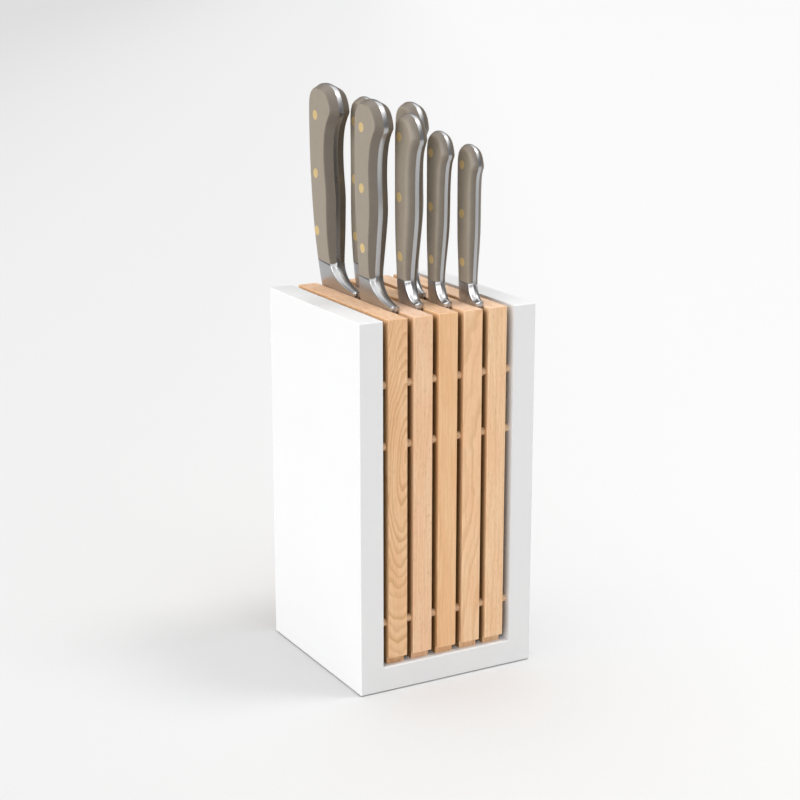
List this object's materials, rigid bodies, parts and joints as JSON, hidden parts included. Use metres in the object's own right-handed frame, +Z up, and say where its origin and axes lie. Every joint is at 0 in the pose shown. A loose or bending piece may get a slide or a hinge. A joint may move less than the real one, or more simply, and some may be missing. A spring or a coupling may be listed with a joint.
{
  "type": "knife block with knives",
  "caption": "Upright open-fronted knife block: lacquered U-shaped housing round slotted wood slats on dowels, with riveted full-tang knives that lift out.",
  "frame": {"origin": "middle of the footprint, on the surface that the block stands on", "axes": "+Z up, the open front with the knife edges faces -Y, +X to the right seen from the front"},
  "size_m": [0.125, 0.125, 0.3713],
  "materials": {
    "white_lacquer": "satin white lacquer over fibreboard",
    "beech_slat": "fine straight grain, light oiled",
    "beech_dowel": "plain turned dowel",
    "rubber_pad": "matt thin pads",
    "knife_steel": "forged stainless steel, satin blade, polished bolster",
    "taupe_scale": "satin taupe moulded scales",
    "brass_rivet": "flush ground rivet heads"
  },
  "bodies": {
    "block": {"left_panel": "white_lacquer", "right_panel": "white_lacquer", "base_panel": "white_lacquer", "slat_1": "beech_slat", "slat_2": "beech_slat", "slat_3": "beech_slat", "slat_4": "beech_slat", "slat_5": "beech_slat", "front_dowels": "beech_dowel", "rear_dowels": "beech_dowel", "left_joint_dowels": "beech_dowel", "right_joint_dowels": "beech_dowel", "rubber_feet": "rubber_pad"},
    "chefs_knife": {"chefs_knife_blade": "knife_steel", "chefs_knife_left_scale": "taupe_scale", "chefs_knife_right_scale": "taupe_scale", "chefs_knife_rivets": "brass_rivet"},
    "cooks_knife": {"cooks_knife_blade": "knife_steel", "cooks_knife_left_scale": "taupe_scale", "cooks_knife_right_scale": "taupe_scale", "cooks_knife_rivets": "brass_rivet"},
    "bread_knife": {"bread_knife_blade": "knife_steel", "bread_knife_left_scale": "taupe_scale", "bread_knife_right_scale": "taupe_scale", "bread_knife_rivets": "brass_rivet"},
    "carving_knife": {"carving_knife_blade": "knife_steel", "carving_knife_left_scale": "taupe_scale", "carving_knife_right_scale": "taupe_scale", "carving_knife_rivets": "brass_rivet"},
    "boning_knife": {"boning_knife_blade": "knife_steel", "boning_knife_left_scale": "taupe_scale", "boning_knife_right_scale": "taupe_scale", "boning_knife_rivets": "brass_rivet"},
    "utility_knife": {"utility_knife_blade": "knife_steel", "utility_knife_left_scale": "taupe_scale", "utility_knife_right_scale": "taupe_scale", "utility_knife_rivets": "brass_rivet"},
    "paring_knife": {"paring_knife_blade": "knife_steel", "paring_knife_left_scale": "taupe_scale", "paring_knife_right_scale": "taupe_scale", "paring_knife_rivets": "brass_rivet"}
  },
  "joints": [
    {"name": "chefs_knife_lift", "type": "slide", "parent": "block", "child": "chefs_knife", "axis": [0, 0, 1], "range_m": [0, 0.21]},
    {"name": "cooks_knife_lift", "type": "slide", "parent": "block", "child": "cooks_knife", "axis": [0, 0, 1], "range_m": [0, 0.185]},
    {"name": "bread_knife_lift", "type": "slide", "parent": "block", "child": "bread_knife", "axis": [0, 0, 1], "range_m": [0, 0.21]},
    {"name": "carving_knife_lift", "type": "slide", "parent": "block", "child": "carving_knife", "axis": [0, 0, 1], "range_m": [0, 0.19]},
    {"name": "boning_knife_lift", "type": "slide", "parent": "block", "child": "boning_knife", "axis": [0, 0, 1], "range_m": [0, 0.16]},
    {"name": "utility_knife_lift", "type": "slide", "parent": "block", "child": "utility_knife", "axis": [0, 0, 1], "range_m": [0, 0.13]},
    {"name": "paring_knife_lift", "type": "slide", "parent": "block", "child": "paring_knife", "axis": [0, 0, 1], "range_m": [0, 0.1]}
  ]
}
